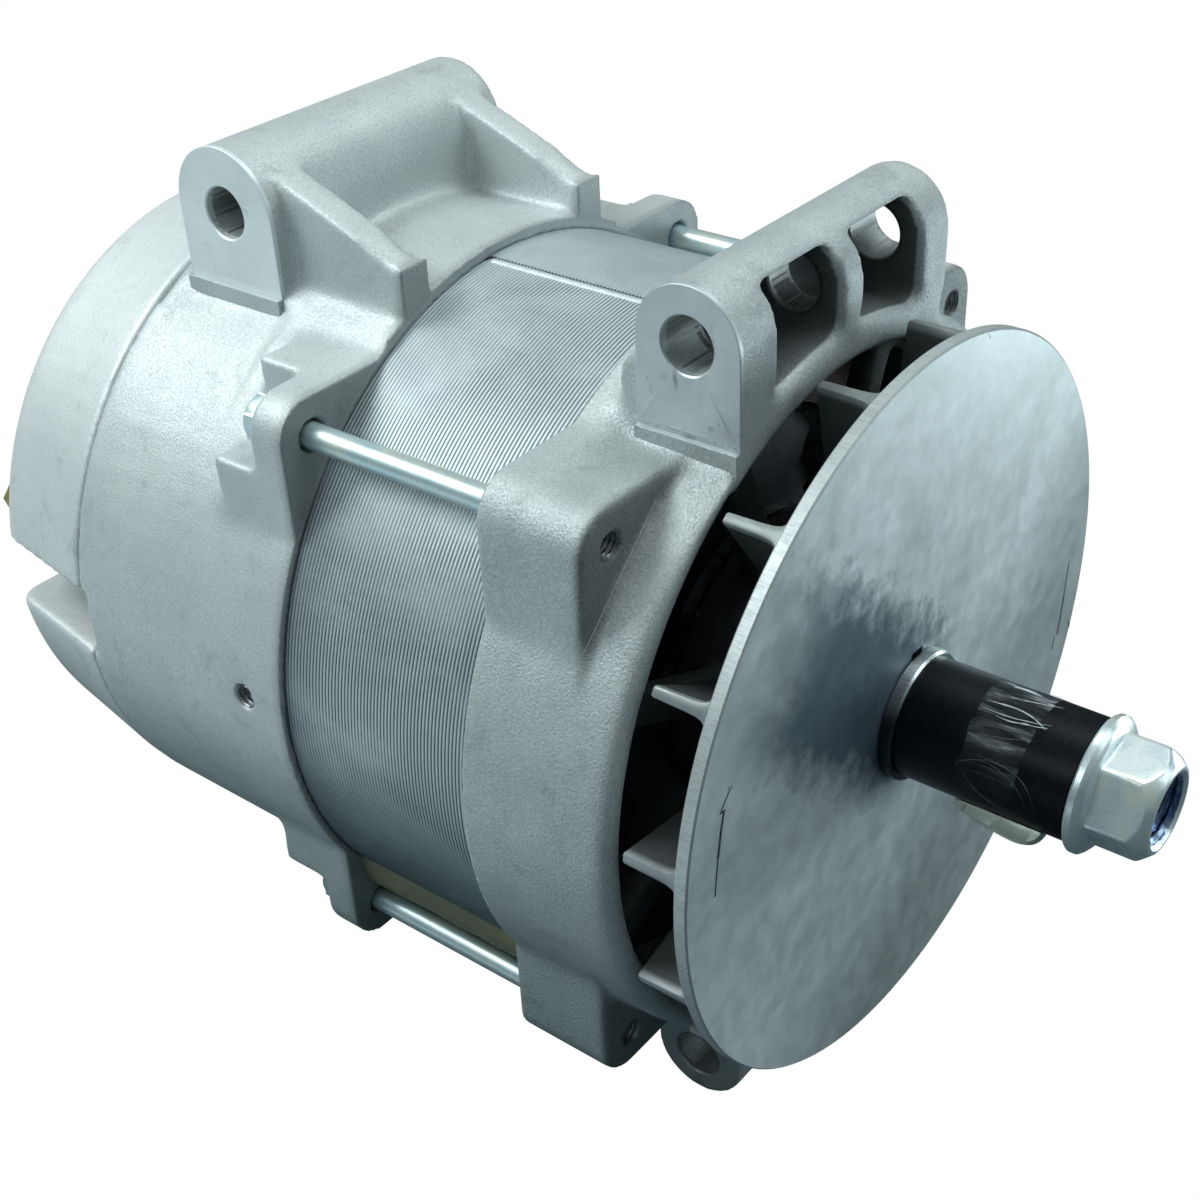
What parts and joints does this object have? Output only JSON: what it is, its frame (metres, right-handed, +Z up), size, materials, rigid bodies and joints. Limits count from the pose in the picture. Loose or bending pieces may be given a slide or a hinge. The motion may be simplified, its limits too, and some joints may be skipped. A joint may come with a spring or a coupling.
{
  "type": "truck alternator",
  "caption": "Heavy duty alternator with two top mounting bosses, a lower ear, an outside fan, a laminated stator held by long through bolts, and a turning rotor in ball bearings.",
  "frame": {"origin": "on the shaft's axis, at the fan's front face, where a pulley's hub seats", "axes": "+Y along the shaft towards the rear cover, +Z up through the top bosses, +X to the right when seen from the fan side"},
  "size_m": [0.1846, 0.313, 0.2325],
  "materials": {
    "drive_end_casting": "sand cast, greenish grey, with machined faces",
    "rear_casting": "cast, pale greenish grey, with machined faces",
    "cover_casting": "cast, smooth, pale grey",
    "core_steel": "laminated steel, fine rings",
    "winding": "enamelled copper wire",
    "lead_sleeving": "dark red sleeving",
    "bearing_steel": "ground steel",
    "plate_steel": "zinc plated steel",
    "zinc_bolt": "bright zinc with a blue tint",
    "washer_steel": "dull zinc",
    "yellow_zinc": "yellow zinc",
    "sink_aluminium": "plain plate",
    "diode_black": "black case",
    "diode_red": "dark red case",
    "insulator_buff": "buff moulded plastic",
    "holder_black": "black moulded plastic",
    "spring_steel": "spring wire",
    "can_aluminium": "drawn can",
    "stud_zinc": "yellow zinc thread",
    "insulator_orange": "orange red moulded plastic",
    "shaft_steel": "turned steel",
    "fan_aluminium": "blue grey, fine scratches",
    "key_steel": "plain steel",
    "pole_iron": "forged iron, dark",
    "bobbin_brown": "brown moulded plastic",
    "ring_copper": "turned copper",
    "sleeve_black": "near black, satin",
    "washer_bright": "bright turned steel",
    "nut_zinc": "bright zinc with a green tint",
    "tape_film": "clear wrinkled film",
    "ball_steel": "polished",
    "cage_steel": "pressed cage",
    "carbon": "carbon block"
  },
  "bodies": {
    "housing": {"drive_end_housing": "drive_end_casting", "rear_housing": "rear_casting", "rear_cover": "cover_casting", "stator_core": "core_steel", "stator_winding": "winding", "stator_leads": "lead_sleeving", "front_bearing_outer_race": "bearing_steel", "bearing_retainer": "plate_steel", "retainer_screws": "plate_steel", "rear_bearing_outer_race": "bearing_steel", "through_bolts": "zinc_bolt", "through_bolt_washers": "washer_steel", "rear_cover_bolts": "yellow_zinc", "heat_sink_negative": "sink_aluminium", "heat_sink_positive": "sink_aluminium", "diodes_negative": "diode_black", "diodes_positive": "diode_red", "sink_insulators": "insulator_buff", "sink_screws": "plate_steel", "brush_holder": "holder_black", "brush_spring_front": "spring_steel", "brush_spring_rear": "spring_steel", "voltage_regulator": "holder_black", "capacitor": "can_aluminium", "output_stud": "stud_zinc", "output_insulator": "insulator_orange", "output_nut": "stud_zinc", "ground_stud": "plate_steel", "ground_nut": "plate_steel"},
    "rotor": {"shaft": "shaft_steel", "fan": "fan_aluminium", "fan_key": "key_steel", "fan_spacer": "plate_steel", "rotor_pole_front": "pole_iron", "rotor_pole_rear": "pole_iron", "rotor_hub": "pole_iron", "coil_bobbin": "bobbin_brown", "field_coil": "winding", "slip_ring_hub": "bobbin_brown", "slip_rings": "ring_copper", "field_leads": "lead_sleeving", "shaft_sleeve": "sleeve_black", "seat_washer": "washer_bright", "shaft_nut": "nut_zinc", "taped_key": "key_steel", "key_tape": "tape_film", "front_bearing_inner_race": "bearing_steel", "rear_bearing_inner_race": "bearing_steel"},
    "front_ball_set": {"front_bearing_balls": "ball_steel", "front_bearing_cage": "cage_steel"},
    "rear_ball_set": {"rear_bearing_balls": "ball_steel", "rear_bearing_cage": "cage_steel"},
    "brush_front": {"brush_front": "carbon"},
    "brush_rear": {"brush_rear": "carbon"}
  },
  "joints": [
    {"name": "rotor_spin", "type": "hinge", "parent": "housing", "child": "rotor", "pos_m": [0, 0, 0], "axis": [0, 1, 0], "continuous": true},
    {"name": "front_ball_set_spin", "type": "hinge", "parent": "housing", "child": "front_ball_set", "pos_m": [0, 0.0355, 0], "axis": [0, 1, 0], "continuous": true},
    {"name": "rear_ball_set_spin", "type": "hinge", "parent": "housing", "child": "rear_ball_set", "pos_m": [0, 0.156, 0], "axis": [0, 1, 0], "continuous": true},
    {"name": "brush_front_slide", "type": "slide", "parent": "housing", "child": "brush_front", "axis": [0, 0, 1], "range_m": [0, 0.003], "stiffness_N_per_m": 250, "springref_m": -0.012, "deforming": ["brush_spring_front"]},
    {"name": "brush_rear_slide", "type": "slide", "parent": "housing", "child": "brush_rear", "axis": [0, 0, 1], "range_m": [0, 0.003], "stiffness_N_per_m": 250, "springref_m": -0.012, "deforming": ["brush_spring_rear"]}
  ],
  "couplings": [
    {"joint": "front_ball_set_spin", "follows": "rotor_spin", "ratio": 0.3682},
    {"joint": "rear_ball_set_spin", "follows": "rotor_spin", "ratio": 0.3749}
  ]
}
